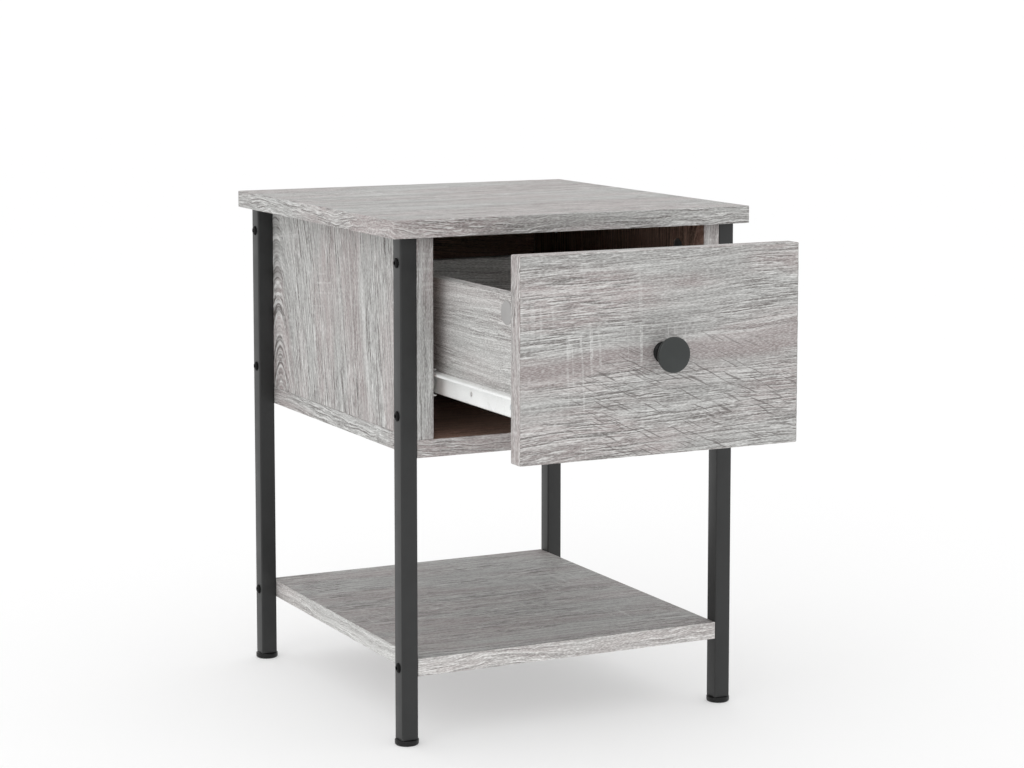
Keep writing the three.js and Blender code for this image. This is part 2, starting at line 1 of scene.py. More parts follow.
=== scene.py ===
"""Side table with a drawer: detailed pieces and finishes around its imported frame.

Lengths are metres, +Z is up and the front faces -Y. Every piece takes its place and its size from the
frame's nodes. Boards, tubes, glides, screws, the knob, the slides and the caps are worked out with numpy.
"""
import json
from math import pi, radians

import bmesh
import bpy
import numpy as np
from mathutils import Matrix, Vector

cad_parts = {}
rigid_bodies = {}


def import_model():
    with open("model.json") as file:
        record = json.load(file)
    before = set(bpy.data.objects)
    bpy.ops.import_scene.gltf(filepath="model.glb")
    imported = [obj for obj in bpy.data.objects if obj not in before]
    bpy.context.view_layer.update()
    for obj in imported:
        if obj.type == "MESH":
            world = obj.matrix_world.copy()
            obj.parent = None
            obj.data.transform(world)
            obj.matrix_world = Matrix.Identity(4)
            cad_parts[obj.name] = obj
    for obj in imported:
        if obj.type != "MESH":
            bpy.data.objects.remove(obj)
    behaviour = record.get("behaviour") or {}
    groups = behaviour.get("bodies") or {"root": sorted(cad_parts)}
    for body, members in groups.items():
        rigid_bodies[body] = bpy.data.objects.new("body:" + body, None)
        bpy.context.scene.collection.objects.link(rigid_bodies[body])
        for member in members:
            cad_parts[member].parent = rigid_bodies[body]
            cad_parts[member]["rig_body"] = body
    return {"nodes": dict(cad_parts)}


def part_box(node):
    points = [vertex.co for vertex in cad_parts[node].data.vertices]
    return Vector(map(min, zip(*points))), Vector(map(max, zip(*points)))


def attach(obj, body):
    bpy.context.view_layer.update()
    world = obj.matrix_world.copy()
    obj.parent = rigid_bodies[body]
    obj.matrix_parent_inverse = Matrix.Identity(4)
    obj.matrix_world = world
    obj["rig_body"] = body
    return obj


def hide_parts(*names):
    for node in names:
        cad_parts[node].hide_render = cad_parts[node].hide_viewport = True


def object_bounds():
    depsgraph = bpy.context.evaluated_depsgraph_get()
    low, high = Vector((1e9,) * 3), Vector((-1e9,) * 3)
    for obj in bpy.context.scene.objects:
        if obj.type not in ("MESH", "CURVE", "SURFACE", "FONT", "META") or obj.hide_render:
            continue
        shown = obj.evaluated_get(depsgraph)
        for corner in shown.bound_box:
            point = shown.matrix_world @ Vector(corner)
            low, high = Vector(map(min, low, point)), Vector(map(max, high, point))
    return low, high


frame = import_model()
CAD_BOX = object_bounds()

bl_info = {
    "name": "Side Table With Drawer",
    "version": (1, 0, 0),
    "blender": (4, 5, 0),
    "location": "View3D > Sidebar > Side Table",
    "description": "Builds a small steel and oak-look side table with a drawer on roller slides",
    "category": "Add Mesh",
}

SIDES = ("left", "right")
ENDS = ("front", "rear")
HEIGHTS = ("upper", "middle", "lower")
SIDE_SIGN = {"left": -1.0, "right": 1.0}
MM = 0.001
GRAIN_UV = "grain"
SMOOTH_ANGLE = radians(40)
WHITE = (1.0, 1.0, 1.0, 1.0)

# Places of the holes in the slides' webs, from each member's front end.
DRAWER_SLIDE_HOLES = (16 * MM, 92 * MM, 168 * MM, 244 * MM)
CABINET_SLIDE_HOLES = (43 * MM, 107 * MM, 171 * MM, 263 * MM)


# ---- settings

def length(name, text, default):
    """A length setting in metres."""
    return bpy.props.FloatProperty(
        name=name, description=text, default=default, min=0.0, unit="LENGTH", precision=5
    )


def colour(name, text, default):
    """A colour setting, as linear red, green and blue."""
    return bpy.props.FloatVectorProperty(
        name=name, description=text, default=default, size=3, min=0.0, max=1.0, subtype="COLOR"
    )


class BoardSettings(bpy.types.PropertyGroup):
    """Sizes and colours of the boards."""

    ease: length("Eased edge", "Radius of the eased edges of a board", 0.35 * MM)
    corner: length("Corner", "Radius of a board's four corners in plan", 1.1 * MM)
    seam: length("Band seam", "Distance from the edge to the seam of the edge band", 0.62 * MM)
    seam_width: length("Seam width", "Width of the seam of the edge band", 0.16 * MM)
    grey: colour("Grey oak", "Cool grey of the oak decor", (0.430, 0.430, 0.420))
    rosy: colour("Rosy oak", "Warm grey of the oak decor", (0.395, 0.340, 0.335))
    pore: colour("Pores", "Dark strokes of the decor", (0.130, 0.117, 0.112))
    pale: colour("Pale streaks", "Pale strokes and saw marks of the decor", (0.740, 0.740, 0.725))
    # inside is painted shade: a dark brown that stands in for the deep shade inside the box, on boards whose
    # own decor is the grey oak.
    inside: colour("Inside", "Brown of the faces inside the box", (0.320, 0.212, 0.165))
    glue: colour("Glue line", "Seam between the face and the edge band", (0.200, 0.180, 0.165))
    print_grey: colour("Hardboard", "Printed face of the drawer's bottom", (0.380, 0.372, 0.360))


class MetalSettings(bpy.types.PropertyGroup):
    """Sizes and colours of the tubes, screws, knob and slides."""

    tube_corner: length("Tube corner", "Outer corner radius of the square tubes", 1.3 * MM)
    shank: length("Screw shank", "Shank radius of the leg screws", 2.0 * MM)
    socket: length("Screw socket", "Half the width across flats of a leg screw's socket", 1.5 * MM)
    neck: length("Knob neck", "Radius of the knob's neck", 7.3 * MM)
    knob_rim: length("Knob rim", "Radius of the knob's rounded rim", 1.5 * MM)
    sheet: length("Slide sheet", "Thickness of the slides' sheet steel", 1.0 * MM)
    bend: length("Slide bend", "Middle radius of the bends in the slides", 1.3 * MM)
    lip: length("Slide lip", "Height of the drawer member's turned-down lip", 1.5 * MM)
    slide_hole: length("Slide hole", "Radius of the holes in the slides", 2.5 * MM)
    axle: length("Axle", "Radius of the rollers' axles", 1.9 * MM)
    axle_head: length("Axle head", "Radius of an axle's head", 2.9 * MM)
    shoulder: length("Axle shoulder", "Radius of an axle's shoulder", 3.0 * MM)
    coat: colour("Powder coat", "Black powder coat of the tubes", (0.0150, 0.0155, 0.0155))
    screw: colour("Screw", "Black oxide of the leg screws", (0.004, 0.004, 0.004))
    knob: colour("Knob", "Dark grey lacquer of the knob", (0.022, 0.026, 0.025))
    enamel: colour("Enamel", "White enamel of the slides", (0.890, 0.900, 0.890))
    zinc: colour("Zinc", "Zinc plate of the hidden fittings", (0.560, 0.580, 0.600))


class PlasticSettings(bpy.types.PropertyGroup):
    """Sizes and colours of the plastic pieces."""

    bore: length("Roller bore", "Radius of a roller's bore", 2.1 * MM)
    rim: length("Roller rim", "Radius of a roller's rounded rims", 0.8 * MM)
    dish: length("Roller dish", "Depth of the recess in a roller's faces", 0.5 * MM)
    glide: colour("Glide", "Black plastic of the glides", (0.006, 0.006, 0.006))
    roller: colour("Roller", "White nylon of the rollers", (0.760, 0.760, 0.730))
    cap: colour("Cap", "Grey plastic of the cam covers", (0.350, 0.343, 0.338))


class StageSettings(bpy.types.PropertyGroup):
    """The floor, the lights and the camera."""

    floor: colour("Floor", "Pale floor", (0.600, 0.600, 0.600))
    glow: bpy.props.FloatProperty(
        name="Glow", description="Light of the floor itself, which keeps shadows pale", default=0.36, min=0.0
    )
    sky: bpy.props.FloatProperty(
        name="Sky", description="Strength of the even studio light", default=1.05, min=0.0
    )
    key: bpy.props.FloatProperty(
        name="Key", description="Power of the large light at the left", default=9.0, subtype="POWER"
    )


def settings(part):
    """One of the four groups of settings of this scene."""
    return getattr(bpy.context.scene, "side_table_" + part)


# ---- meshes

def skin(rings, ends="flat"):
    """Closed surface through a stack of rings: point p of ring k joins point p of ring k + 1.

    rings is an array (rings, points, 3). The two ends are flat faces, or the last ring joins the first.
    """
    count, points, _ = rings.shape
    joined = count if ends == "joined" else count - 1
    low = np.arange(joined)[:, None] * points
    high = (low + points) % (count * points)
    here = np.arange(points)
    after = (here + 1) % points
    quads = np.stack([low + here, low + after, high + after, high + here], -1)
    faces = quads.reshape(-1, 4).tolist()
    if ends == "flat":
        faces += [here.tolist(), ((count - 1) * points + here).tolist()]
    return rings.reshape(-1, 3), faces


def together(parts):
    """Several closed surfaces as one list of points and faces."""
    verts = []
    faces = []
    for part_verts, part_faces in parts:
        base = sum(len(v) for v in verts)
        verts.append(part_verts)
        faces += [[base + i for i in face] for face in part_faces]
    return np.vstack(verts), faces


def turned(profile, points, centre, axis, ends="flat"):
    """Surface of revolution: each [radius, distance along the axis] of the profile becomes a circle."""
    profile = np.asarray(profile, float)
    axis = np.asarray(axis, float)
    across = np.array([0.0, 0.0, 1.0]) if abs(axis[2]) < 0.5 else np.array([1.0, 0.0, 0.0])
    other = np.cross(axis, across)
    angle = np.linspace(0, 2 * pi, points, endpoint=False)
    circle = np.cos(angle)[:, None] * across + np.sin(angle)[:, None] * other
    rings = profile[:, 0, None, None] * circle + profile[:, 1, None, None] * axis
    return skin(rings + np.asarray(centre, float), ends)


def arc(centre, radius, first, last, steps):
    """Points on an arc, from the first to the last angle in degrees."""
    angle = np.radians(np.linspace(first, last, steps + 1))
    return np.stack([centre[0] + radius * np.cos(angle), centre[1] + radius * np.sin(angle)], -1)


def rounded_rectangle(half_a, half_b, radius, steps):
    """Corner centres and outward directions of a rectangle's outline with four round corners."""
    angle = np.radians(np.arange(4)[:, None] * 90 + np.linspace(0, 90, steps + 1)).ravel()
    signs = np.array([(1, 1), (-1, 1), (-1, -1), (1, -1)])
    centres = signs * (np.array([half_a, half_b]) - radius)
    return np.repeat(centres, steps + 1, axis=0), np.stack([np.cos(angle), np.sin(angle)], -1)


def build_piece(name, verts, faces, materials):
    """Mesh object in the scene from points, faces and materials."""
    mesh = bpy.data.meshes.new(name)
    mesh.from_pydata(np.asarray(verts).tolist(), [], faces)
    mesh.validate()
    for material in materials:
        mesh.materials.append(material)
    obj = bpy.data.objects.new(name, mesh)
    bpy.context.scene.collection.objects.link(obj)
    return obj


def close_piece(obj):
    """Turns the faces outwards, shades them smooth and keeps the edges past the smooth angle sharp."""
    shape = bmesh.new()
    shape.from_mesh(obj.data)
    bmesh.ops.recalc_face_normals(shape, faces=shape.faces)
    shape.to_mesh(obj.data)
    shape.free()
    obj.data.shade_smooth()
    obj.data.set_sharp_from_angle(angle=SMOOTH_ANGLE)


def drill(obj, holes):
    """Cuts round holes: each is (centre, axis, radius, depth) and starts a little before its centre."""
    lead = 1.5 * MM
    verts, faces = together([
        turned([(radius, -lead), (radius, depth)], 32, centre, axis)
        for centre, axis, radius, depth in holes
    ])
    cutter = build_piece(obj.name + "_cutter", verts, faces, [obj.data.materials[0]])
    close_piece(cutter)
    cut = obj.modifiers.new("holes", "BOOLEAN")
    cut.operation = "DIFFERENCE"
    cut.solver = "MANIFOLD"
    cut.object = cutter
    bpy.context.view_layer.update()
    made = obj.evaluated_get(bpy.context.evaluated_depsgraph_get())
    mesh = bpy.data.meshes.new_from_object(made)
    obj.modifiers.clear()
    obj.data = mesh
    mesh.name = obj.name
    bpy.data.objects.remove(cutter)
    if not mesh.polygons:
        raise RuntimeError("drilling left nothing of " + obj.name)
    close_piece(obj)


def settle(obj, node):
    """The piece rides on its node's body and stands for the node."""
    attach(obj, frame["nodes"][node]["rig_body"])
    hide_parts(node)


def place_piece(name, node, surface, materials):
    """Builds a closed surface, smooths it and puts it in its node's place."""
    obj = build_piece(name, *surface, materials)
    close_piece(obj)
    settle(obj, node)
    return obj


def span(node):
    """Lowest corner, highest corner and middle of a node's box, as arrays."""
    low, high = (np.array(corner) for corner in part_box(node))
    return low, high, (low + high) / 2


# ---- boards

def board(name, node, grain, thin, materials, slot, inside=0, main=1, holes=()):
    """Board with a rounded outline, eased edges and a narrow seam by each edge band.

    The outline is a rectangle with round corners, and the profile goes from the upper face over the
    seam, a quarter circle and the band to the lower face. UVs are metres: along the grain and across it
    on a face, round the outline and through the thickness on a band. inside is +1 or -1 where the upper
    or lower face lies inside the box, and that face takes the fourth material, a dark brown of painted
    shade. main is the face, +1 or -1, whose UVs start at the board's middle; the other face lies
    elsewhere in the same figure.
    """
    style = settings("boards")
    low, high, middle = span(node)
    half = (high - low) / 2
    across = 3 - grain - thin
    corner = style.corner
    centres, outward = rounded_rectangle(half[grain], half[across], corner, 4)
    depth = half[thin]
    seam, width, ease = style.seam, style.seam_width, style.ease
    support, sunk = 0.2 * MM, 0.05 * MM
    edge = np.vstack([
        [(seam + width + support, depth), (seam + width, depth), (seam + width / 2, depth - sunk)],
        [(seam, depth)],
        arc((ease, depth - ease), ease, 90, 180, 3),
        [(0, depth - ease - support)],
    ])
    profile = np.vstack([edge, edge[::-1] * (1, -1)])
    reach = corner - profile[:, 0, None, None]
    plan = centres + reach * outward
    heights = np.broadcast_to(profile[:, 1, None, None], plan.shape[:2] + (1,))
    local = np.concatenate([plan, heights], -1)
    rings = np.zeros_like(local)
    for axis, value in ((grain, 0), (across, 1), (thin, 2)):
        rings[..., axis] = local[..., value] + middle[axis]
    verts, faces = skin(rings)
    obj = build_piece(name, verts, faces, materials)
    count, points = rings.shape[:2]
    rounded = plan[5]
    steps = np.linalg.norm(np.roll(rounded, -1, 0) - rounded, axis=1)
    run = np.concatenate([[0], np.cumsum(steps)])
    kinds, uvs = board_faces(count, points, local, run, len(edge), main)
    if inside > 0:
        kinds[:points] = 3
        kinds[-2] = 3
    if inside < 0:
        kinds[-points - 2:-2] = 3
        kinds[-1] = 3
    obj.data.polygons.foreach_set("material_index", kinds)
    layer = obj.data.uv_layers.new(name=GRAIN_UV)
    layer.data.foreach_set("uv", uvs.astype(np.float32).ravel())
    close_piece(obj)
    if holes:
        drill(obj, holes)
    settle(obj, node)


def board_faces(count, points, local, run, edge_rings, main):
    """Material index of each face and UV of each face corner, in the order that skin makes them."""
    ring = np.repeat(np.arange(count - 1), points)
    here = np.tile(np.arange(points), count - 1)
    after = (here + 1) % points
    mirrored = np.minimum(ring, count - 2 - ring)
    kinds = np.where(mirrored < 1, 0, np.where(mirrored < 3, 2, 1))
    flat = np.stack([
        local[ring, here, :2], local[ring, after, :2],
        local[ring + 1, after, :2], local[ring + 1, here, :2],
    ], 1)
    elsewhere = (0.61, 0.37)
    hidden = ring >= edge_rings if main > 0 else ring < edge_rings
    flat[hidden] += elsewhere
    wrapped = np.stack([
        np.stack([run[here], local[ring, here, 2]], -1),
        np.stack([run[here + 1], local[ring, after, 2]], -1),
        np.stack([run[here + 1], local[ring + 1, after, 2]], -1),
        np.stack([run[here], local[ring + 1, here, 2]], -1),
    ], 1)
    uvs = np.where((kinds == 1)[:, None, None], wrapped, flat).reshape(-1, 2)
    caps = np.stack([local[0, :, :2], local[-1, :, :2]])
    caps[1 if main > 0 else 0] += elsewhere
    uvs = np.vstack([uvs, caps.reshape(-1, 2)])
    return np.concatenate([kinds, [0, 0]]).astype(np.int32), uvs


# ---- node trees

def add(tree, kind, links=None, **values):
    """Adds a node. Plain values set its properties, and links sets its sockets by name or number."""
    node = tree.nodes.new(kind)
    for name, value in values.items():
        setattr(node, name, value)
    for name, value in (links or {}).items():
        socket = node.inputs[name]
        if isinstance(value, bpy.types.NodeSocket):
            tree.links.new(value, socket)
        else:
            socket.default_value = value
    return node


def maths(tree, operation, first, second=0.0, third=0.0):
    """Result of one Math node."""
    sockets = {0: first, 1: second, 2: third}
    return add(tree, "ShaderNodeMath", sockets, operation=operation).outputs[0]


def times(tree, first, second):
    """Product of two values."""
    return maths(tree, "MULTIPLY", first, second)


def vectors(tree, operation, first, second=(0.0, 0.0, 0.0), output=0):
    """Result of one Vector Math node."""
    return add(tree, "ShaderNodeVectorMath", {0: first, 1: second}, operation=operation).outputs[output]


def split(tree, vector):
    """The three numbers of a vector."""
    return add(tree, "ShaderNodeSeparateXYZ", {0: vector}).outputs


def spin(tree, vector, angle):
    """A vector turned about Z."""
    links = {"Vector": vector, "Angle": angle}
    return add(tree, "ShaderNodeVectorRotate", links, rotation_type="Z_AXIS").outputs[0]


def ramp(tree, value, low, high, bottom=0.0, top=1.0):
    """Smooth step of a value from bottom to top between low and high."""
    made = add(tree, "ShaderNodeMapRange", {
        "Value": value, "From Min": low, "From Max": high, "To Min": bottom, "To Max": top,
    }, interpolation_type="SMOOTHSTEP")
    return made.outputs[0]


def mix(tree, share, first, second, blend="MIX"):
    """Mix of two colours."""
    made = add(tree, "ShaderNodeMix", data_type="RGBA", blend_type=blend)
    for socket, value in ((made.inputs[0], share), (made.inputs[6], first), (made.inputs[7], second)):
        if isinstance(value, bpy.types.NodeSocket):
            tree.links.new(value, socket)
        else:
            socket.default_value = value
    return made.outputs[2]


def rgba(values):
    """A colour with full alpha."""
    return (*values, 1.0)


# Sockets of the oak decor's figure with their defaults. Streak holds the belt's place across the grain,
# its slope and its strength. Fleck and Saw Patch hold a middle along and across the grain and a strength.
FIGURE_SOCKETS = {
    "Heart": (0.0, 0.2, 0.0),
    "Turn": 0.0,
    "Rise": 0.1,
    "Wave": 0.012,
    "Curl": 0.02,
    "Seed": 0.0,
    "Saw": 1.0,
    "Saw Patch": (0.0, 0.0, 0.0),
    "Rosy": 0.9,
    "Depth": 1.0,
    "Streak": (0.0, 0.0, 0.0),
    "Fleck": (0.0, 0.0, 0.0),
    "Fleck Slant": 0.0,
}


def tones(tree, base, value, dark, light, pore, pale):
    """Darkens a colour at the low end of a value and lightens it at the high end.

    dark and light are (low, high, strength).
    """
    base = mix(tree, ramp(tree, value, dark[0], dark[1], dark[2], 0.0), base, pore)
    return mix(tree, ramp(tree, value, light[0], light[1], 0.0, light[2]), base, pale)


def oval(tree, uv, patch, squeeze, inner, outer):
    """Strength inside an oval: one within the inner distance of its middle, and zero past the outer."""
    moved = vectors(tree, "SUBTRACT", uv, patch)
    scaled = vectors(tree, "MULTIPLY", moved, (1.0, squeeze, 0.0))
    near = ramp(tree, vectors(tree, "LENGTH", scaled, output="Value"), inner, outer, 1.0, 0.0)
    return times(tree, split(tree, patch)[2], near)


class Figure:
    """Node group of the oak decor's figure, from the grain UVs.

    The growth distance is the length of (across, rise x along) from the heart, with a slow and a quick
    wave added, so its contours are nested arches near the heart and straight stripes far from it.
    """

    def __init__(self):
        tree = self.tree = bpy.data.node_groups.new("oak_figure", "ShaderNodeTree")
        for name, default in FIGURE_SOCKETS.items():
            kind = "NodeSocketVector" if isinstance(default, tuple) else "NodeSocketFloat"
            tree.interface.new_socket(name, in_out="INPUT", socket_type=kind).default_value = default
        tree.interface.new_socket("Color", in_out="OUTPUT", socket_type="NodeSocketColor")
        tree.interface.new_socket("Height", in_out="OUTPUT", socket_type="NodeSocketFloat")
        style = settings("boards")
        self.pore, self.pale = rgba(style.pore), rgba(style.pale)
        given = self.given = add(tree, "NodeGroupInput").outputs
        self.uv = add(tree, "ShaderNodeUVMap", uv_map=GRAIN_UV).outputs[0]
        moved = vectors(tree, "SUBTRACT", self.uv, given["Heart"])
        self.along, self.flat, _ = split(tree, spin(tree, moved, given["Turn"]))
        self.slow = self.wave(3.1, (6.5, 13))
        self.quick = self.wave(7.7, (48, 90))
        self.bent = maths(tree, "MULTIPLY_ADD", self.slow, given["Wave"], self.flat)
        ripple = times(tree, given["Wave"], given["Curl"])
        self.across = maths(tree, "MULTIPLY_ADD", self.quick, ripple, self.bent)
        lift = times(tree, self.along, given["Rise"])
        squared = maths(tree, "MULTIPLY_ADD", self.across, self.across, times(tree, lift, lift))
        self.growth = maths(tree, "SQRT", maths(tree, "ADD", squared, (4 * MM) ** 2))

        base = self.stripes(mix(tree, self.zones(), rgba(style.grey), rgba(style.rosy)))
        base, calm = self.belt(base, rgba([c * 0.80 for c in style.rosy]))
        base, height = self.pores(base, calm)
        base = self.saw_marks(self.flecks(base))
        ready = add(tree, "NodeGroupOutput")
        tree.links.new(base, ready.inputs["Color"])
        tree.links.new(height, ready.inputs["Height"])

    def noise(self, across, step, stretch, detail=1.0, roughness=0.55, along=None):
        """Noise over two grain distances, each times its own number of cycles a metre.

        Each step of the seed gives another pattern.
        """
        tree = self.tree
        point = add(tree, "ShaderNodeCombineXYZ", {
            0: times(tree, along or self.along, stretch[0]), 1: times(tree, across, stretch[1]),
            2: maths(tree, "ADD", self.given["Seed"], step),
        })
        made = add(tree, "ShaderNodeTexNoise", {
            "Vector": point.outputs[0], "Scale": 1.0, "Detail": detail, "Roughness": roughness,
        }, noise_dimensions="3D")
        return made.outputs["Fac"]

    def dashes(self, across, step, stretch, low, high, along=None):
        """Short strokes along the grain: where a stretched noise passes a threshold."""
        return ramp(self.tree, self.noise(across, step, stretch, 1.5, 0.5, along), low, high)

    def wave(self, step, stretch):
        """Noise around zero."""
        return maths(self.tree, "SUBTRACT", self.noise(self.flat, step, stretch), 0.5)

    def zones(self):
        """Wide zones of the rosy tone."""
        made = self.noise(self.bent, 11.3, (6, 24), 2.0)
        return times(self.tree, ramp(self.tree, made, 0.40, 0.60), self.given["Rosy"])

    def stripes(self, base):
        """Broad bands and narrower growth rings, both along the contours."""
        tree, pore, pale = self.tree, self.pore, self.pale
        bands = self.noise(self.growth, 17.9, (3.0, 70), 3.0, 0.6)
        base = tones(tree, base, bands, (0.36, 0.54, 0.22), (0.52, 0.68, 0.22), pore, pale)
        rings = self.noise(self.growth, 23.1, (4, 250))
        base = mix(tree, ramp(tree, rings, 0.53, 0.66, 0.0, 0.34), base, pale)
        return mix(tree, ramp(tree, rings, 0.34, 0.46, 0.30, 0.0), base, pore)

    def belt(self, base, shade):
        """A darker, smoother belt with a slope and long pale lines above it. Gives its calm as well."""
        tree = self.tree
        place, slope, strength = split(tree, self.given["Streak"])
        plain = split(tree, self.uv)
        line = maths(tree, "MULTIPLY_ADD", plain[0], slope, place)
        off = maths(tree, "ADD", maths(tree, "SUBTRACT", plain[1], line), times(tree, self.slow, 0.03))
        belt = times(tree, ramp(tree, maths(tree, "ABSOLUTE", off), 3 * MM, 15 * MM, 1.0, 0.0), strength)
        base = mix(tree, times(tree, belt, 0.80), base, shade)
        higher = maths(tree, "ABSOLUTE", maths(tree, "SUBTRACT", off, 13 * MM))
        above = times(tree, ramp(tree, higher, 0.0, 9 * MM, 1.0, 0.0), strength)
        lines = self.dashes(self.across, 71.3, (11, 330), 0.50, 0.62)
        base = mix(tree, times(tree, times(tree, above, lines), 0.55), base, self.pale)
        return base, maths(tree, "MULTIPLY_ADD", belt, -0.75, 1.0)

    def pores(self, base, calm):
        """Dark strokes along the contours with a pale one beside each, and their height."""
        tree, growth = self.tree, self.growth
        dense = times(tree, ramp(tree, self.noise(self.bent, 29.5, (10, 34)), 0.36, 0.58, 0.45, 1.0), calm)
        dense = times(tree, dense, self.given["Depth"])
        broad = self.dashes(growth, 31.3, (24, 600), 0.55, 0.64)
        beside = maths(tree, "ADD", growth, 0.85 * MM)
        broad_pale = self.dashes(beside, 31.3, (24, 600), 0.55, 0.64)
        small = self.dashes(growth, 37.7, (64, 1000), 0.54, 0.64)
        small_pale = self.dashes(growth, 41.7, (70, 1100), 0.54, 0.64)
        fine = self.noise(growth, 43.9, (330, 1700))
        dark = times(tree, maths(tree, "MAXIMUM", broad, times(tree, small, 0.8)), dense)
        light = times(tree, maths(tree, "MAXIMUM", times(tree, broad_pale, 0.9), small_pale), dense)
        base = mix(tree, times(tree, light, 0.78), base, self.pale)
        base = mix(tree, times(tree, dark, 0.82), base, self.pore)
        base = tones(tree, base, fine, (0.35, 0.52, 0.30), (0.50, 0.66, 0.34), self.pore, self.pale)
        height = maths(tree, "MULTIPLY_ADD", dark, -0.8, times(tree, light, 0.4))
        return base, maths(tree, "MULTIPLY_ADD", fine, 0.35, height)

    def flecks(self, base):
        """Longer dark strokes at a slant inside an oval."""
        tree = self.tree
        tilted = split(tree, spin(tree, self.uv, self.given["Fleck Slant"]))
        curled = maths(tree, "MULTIPLY_ADD", self.quick, 0.003, tilted[1])
        strokes = self.dashes(curled, 83.3, (34, 700), 0.60, 0.68, tilted[0])
        strokes = times(tree, strokes, oval(tree, self.uv, self.given["Fleck"], 2.1, 0.080, 0.150))
        return mix(tree, times(tree, strokes, 0.70), base, self.pore)

    def saw_marks(self, base):
        """Pale broken lines across the grain, in patches of a noise and in one chosen oval."""
        tree = self.tree
        patch = ramp(tree, self.noise(self.flat, 53.1, (15, 17)), 0.55, 0.62)
        patch = times(tree, patch, self.given["Saw"])
        chosen = oval(tree, self.uv, self.given["Saw Patch"], 4.5, 0.055, 0.080)
        patch = maths(tree, "MAXIMUM", patch, chosen)
        marks = self.noise(self.flat, 59.9, (230, 8))
        broken = self.noise(self.flat, 61.3, (400, 560))
        saw = times(tree, times(tree, patch, ramp(tree, marks, 0.60, 0.68)),
                    ramp(tree, broken, 0.38, 0.62, 0.3, 1.0))
        return mix(tree, times(tree, saw, 0.60), base, self.pale)


FINISHES = {}


def new_material(name):
    """Material with an empty node tree, its output and its Principled shader, or the one made before."""
    if name in FINISHES:
        return FINISHES[name], None, None
    made = FINISHES[name] = bpy.data.materials.new(name)
    made.use_nodes = True
    tree = made.node_tree
    tree.nodes.clear()
    shader = add(tree, "ShaderNodeBsdfPrincipled")
    add(tree, "ShaderNodeOutputMaterial", {"Surface": shader.outputs[0]})
    return made, tree, shader


def bump(tree, shader, height, strength, distance):
    """Small relief on the shader's normal."""
    made = add(tree, "ShaderNodeBump", {
        "Height": height, "Strength": strength, "Distance": distance,
    })
    tree.links.new(made.outputs[0], shader.inputs["Normal"])


def oak(name, heart, turn=0.0, fleck_slant=0.0, tint=1.0, **figure):
    """Oak decor of one face or one set of edge bands.

    The figure's other values are named like its sockets. turn and fleck_slant are in degrees, and tint
    multiplies the colour.
    """
    made, tree, shader = new_material(name)
    if tree is None:
        return made
    group = bpy.data.node_groups.get("oak_figure") or Figure().tree
    drawn = add(tree, "ShaderNodeGroup", node_tree=group)
    values = dict(figure, heart=(*heart, 0.0), turn=radians(turn), fleck_slant=radians(fleck_slant))
    for value in values:
        drawn.inputs[value.replace("_", " ").title()].default_value = values[value]
    tone = mix(tree, 1.0, drawn.outputs["Color"], rgba(np.ones(3) * tint), "MULTIPLY")
    tree.links.new(tone, shader.inputs["Base Color"])
    rough = ramp(tree, drawn.outputs["Height"], -0.7, 0.4, 0.72, 0.54)
    tree.links.new(rough, shader.inputs["Roughness"])
    shader.inputs["Specular IOR Level"].default_value = 0.35
    bump(tree, shader, drawn.outputs["Height"], 0.6, 0.15 * MM)
    return made


def lively(heart, **figure):
    """Figure of a board's edge bands, with more wave in it."""
    return dict({"rise": 0.03, "wave": 0.03, "curl": 0.14}, heart=heart, **figure)


def painted_shade_face(name, heart, seed):
    """Face inside the box with the oak's figure, tinted dark brown: painted shade of the deep inside of the
    box.
    """
    style = settings("boards")
    # The tint turns the grey decor into the inside colour, so the figure carries the painted shade.
    tint = np.array(style.inside) / np.array(style.grey)
    return oak(name, heart, rise=0.08, wave=0.02, seed=seed, saw=0.3, tint=tint)


def glue_line():
    """Dull brown line between a board's face and its edge band."""
    made, tree, shader = new_material("glue_line")
    if tree is None:
        return made
    spot = object_noise(tree, 900.0, 2.0)
    tone = settings("boards").glue
    dark = rgba([c * 0.7 for c in tone])
    tree.links.new(mix(tree, spot, dark, rgba(tone)), shader.inputs["Base Color"])
    shader.inputs["Roughness"].default_value = 0.8
    return made


def object_noise(tree, scale, detail):
    """Noise over the object coordinates."""
    place = add(tree, "ShaderNodeTexCoord").outputs["Object"]
    made = add(tree, "ShaderNodeTexNoise", {"Vector": place, "Scale": scale, "Detail": detail})
    return made.outputs["Fac"]


# Each coat: its colour's group and setting, roughness, grain in cycles a metre, relief, mottle, level of
# reflection and metal.
COATS = {
    "black_powder_coat": ("metals", "coat", 0.44, 2600.0, 0.35, 0.16, 0.5, 0.0),
    "black_oxide": ("metals", "screw", 0.28, 3000.0, 0.2, 0.16, 0.1, 0.0),
    "grey_lacquer": ("metals", "knob", 0.33, 1800.0, 0.12, 0.16, 0.5, 0.0),
    # The knob's neck and the underside of its head: the screws' black as painted shade of the grey lacquer,
    # where the head shades the neck.
    "black_lacquer": ("metals", "screw", 0.35, 1800.0, 0.12, 0.16, 0.2, 0.0),
    "white_enamel": ("metals", "enamel", 0.32, 1200.0, 0.1, 0.03, 0.5, 0.0),
    "zinc_plate": ("metals", "zinc", 0.30, 2200.0, 0.3, 0.1, 0.5, 1.0),
    "glide_moulding": ("plastics", "glide", 0.36, 1400.0, 0.15, 0.16, 0.3, 0.0),
    "white_nylon": ("plastics", "roller", 0.42, 900.0, 0.1, 0.04, 0.5, 0.0),
    "cap_moulding": ("plastics", "cap", 0.45, 1500.0, 0.2, 0.05, 0.5, 0.0),
}


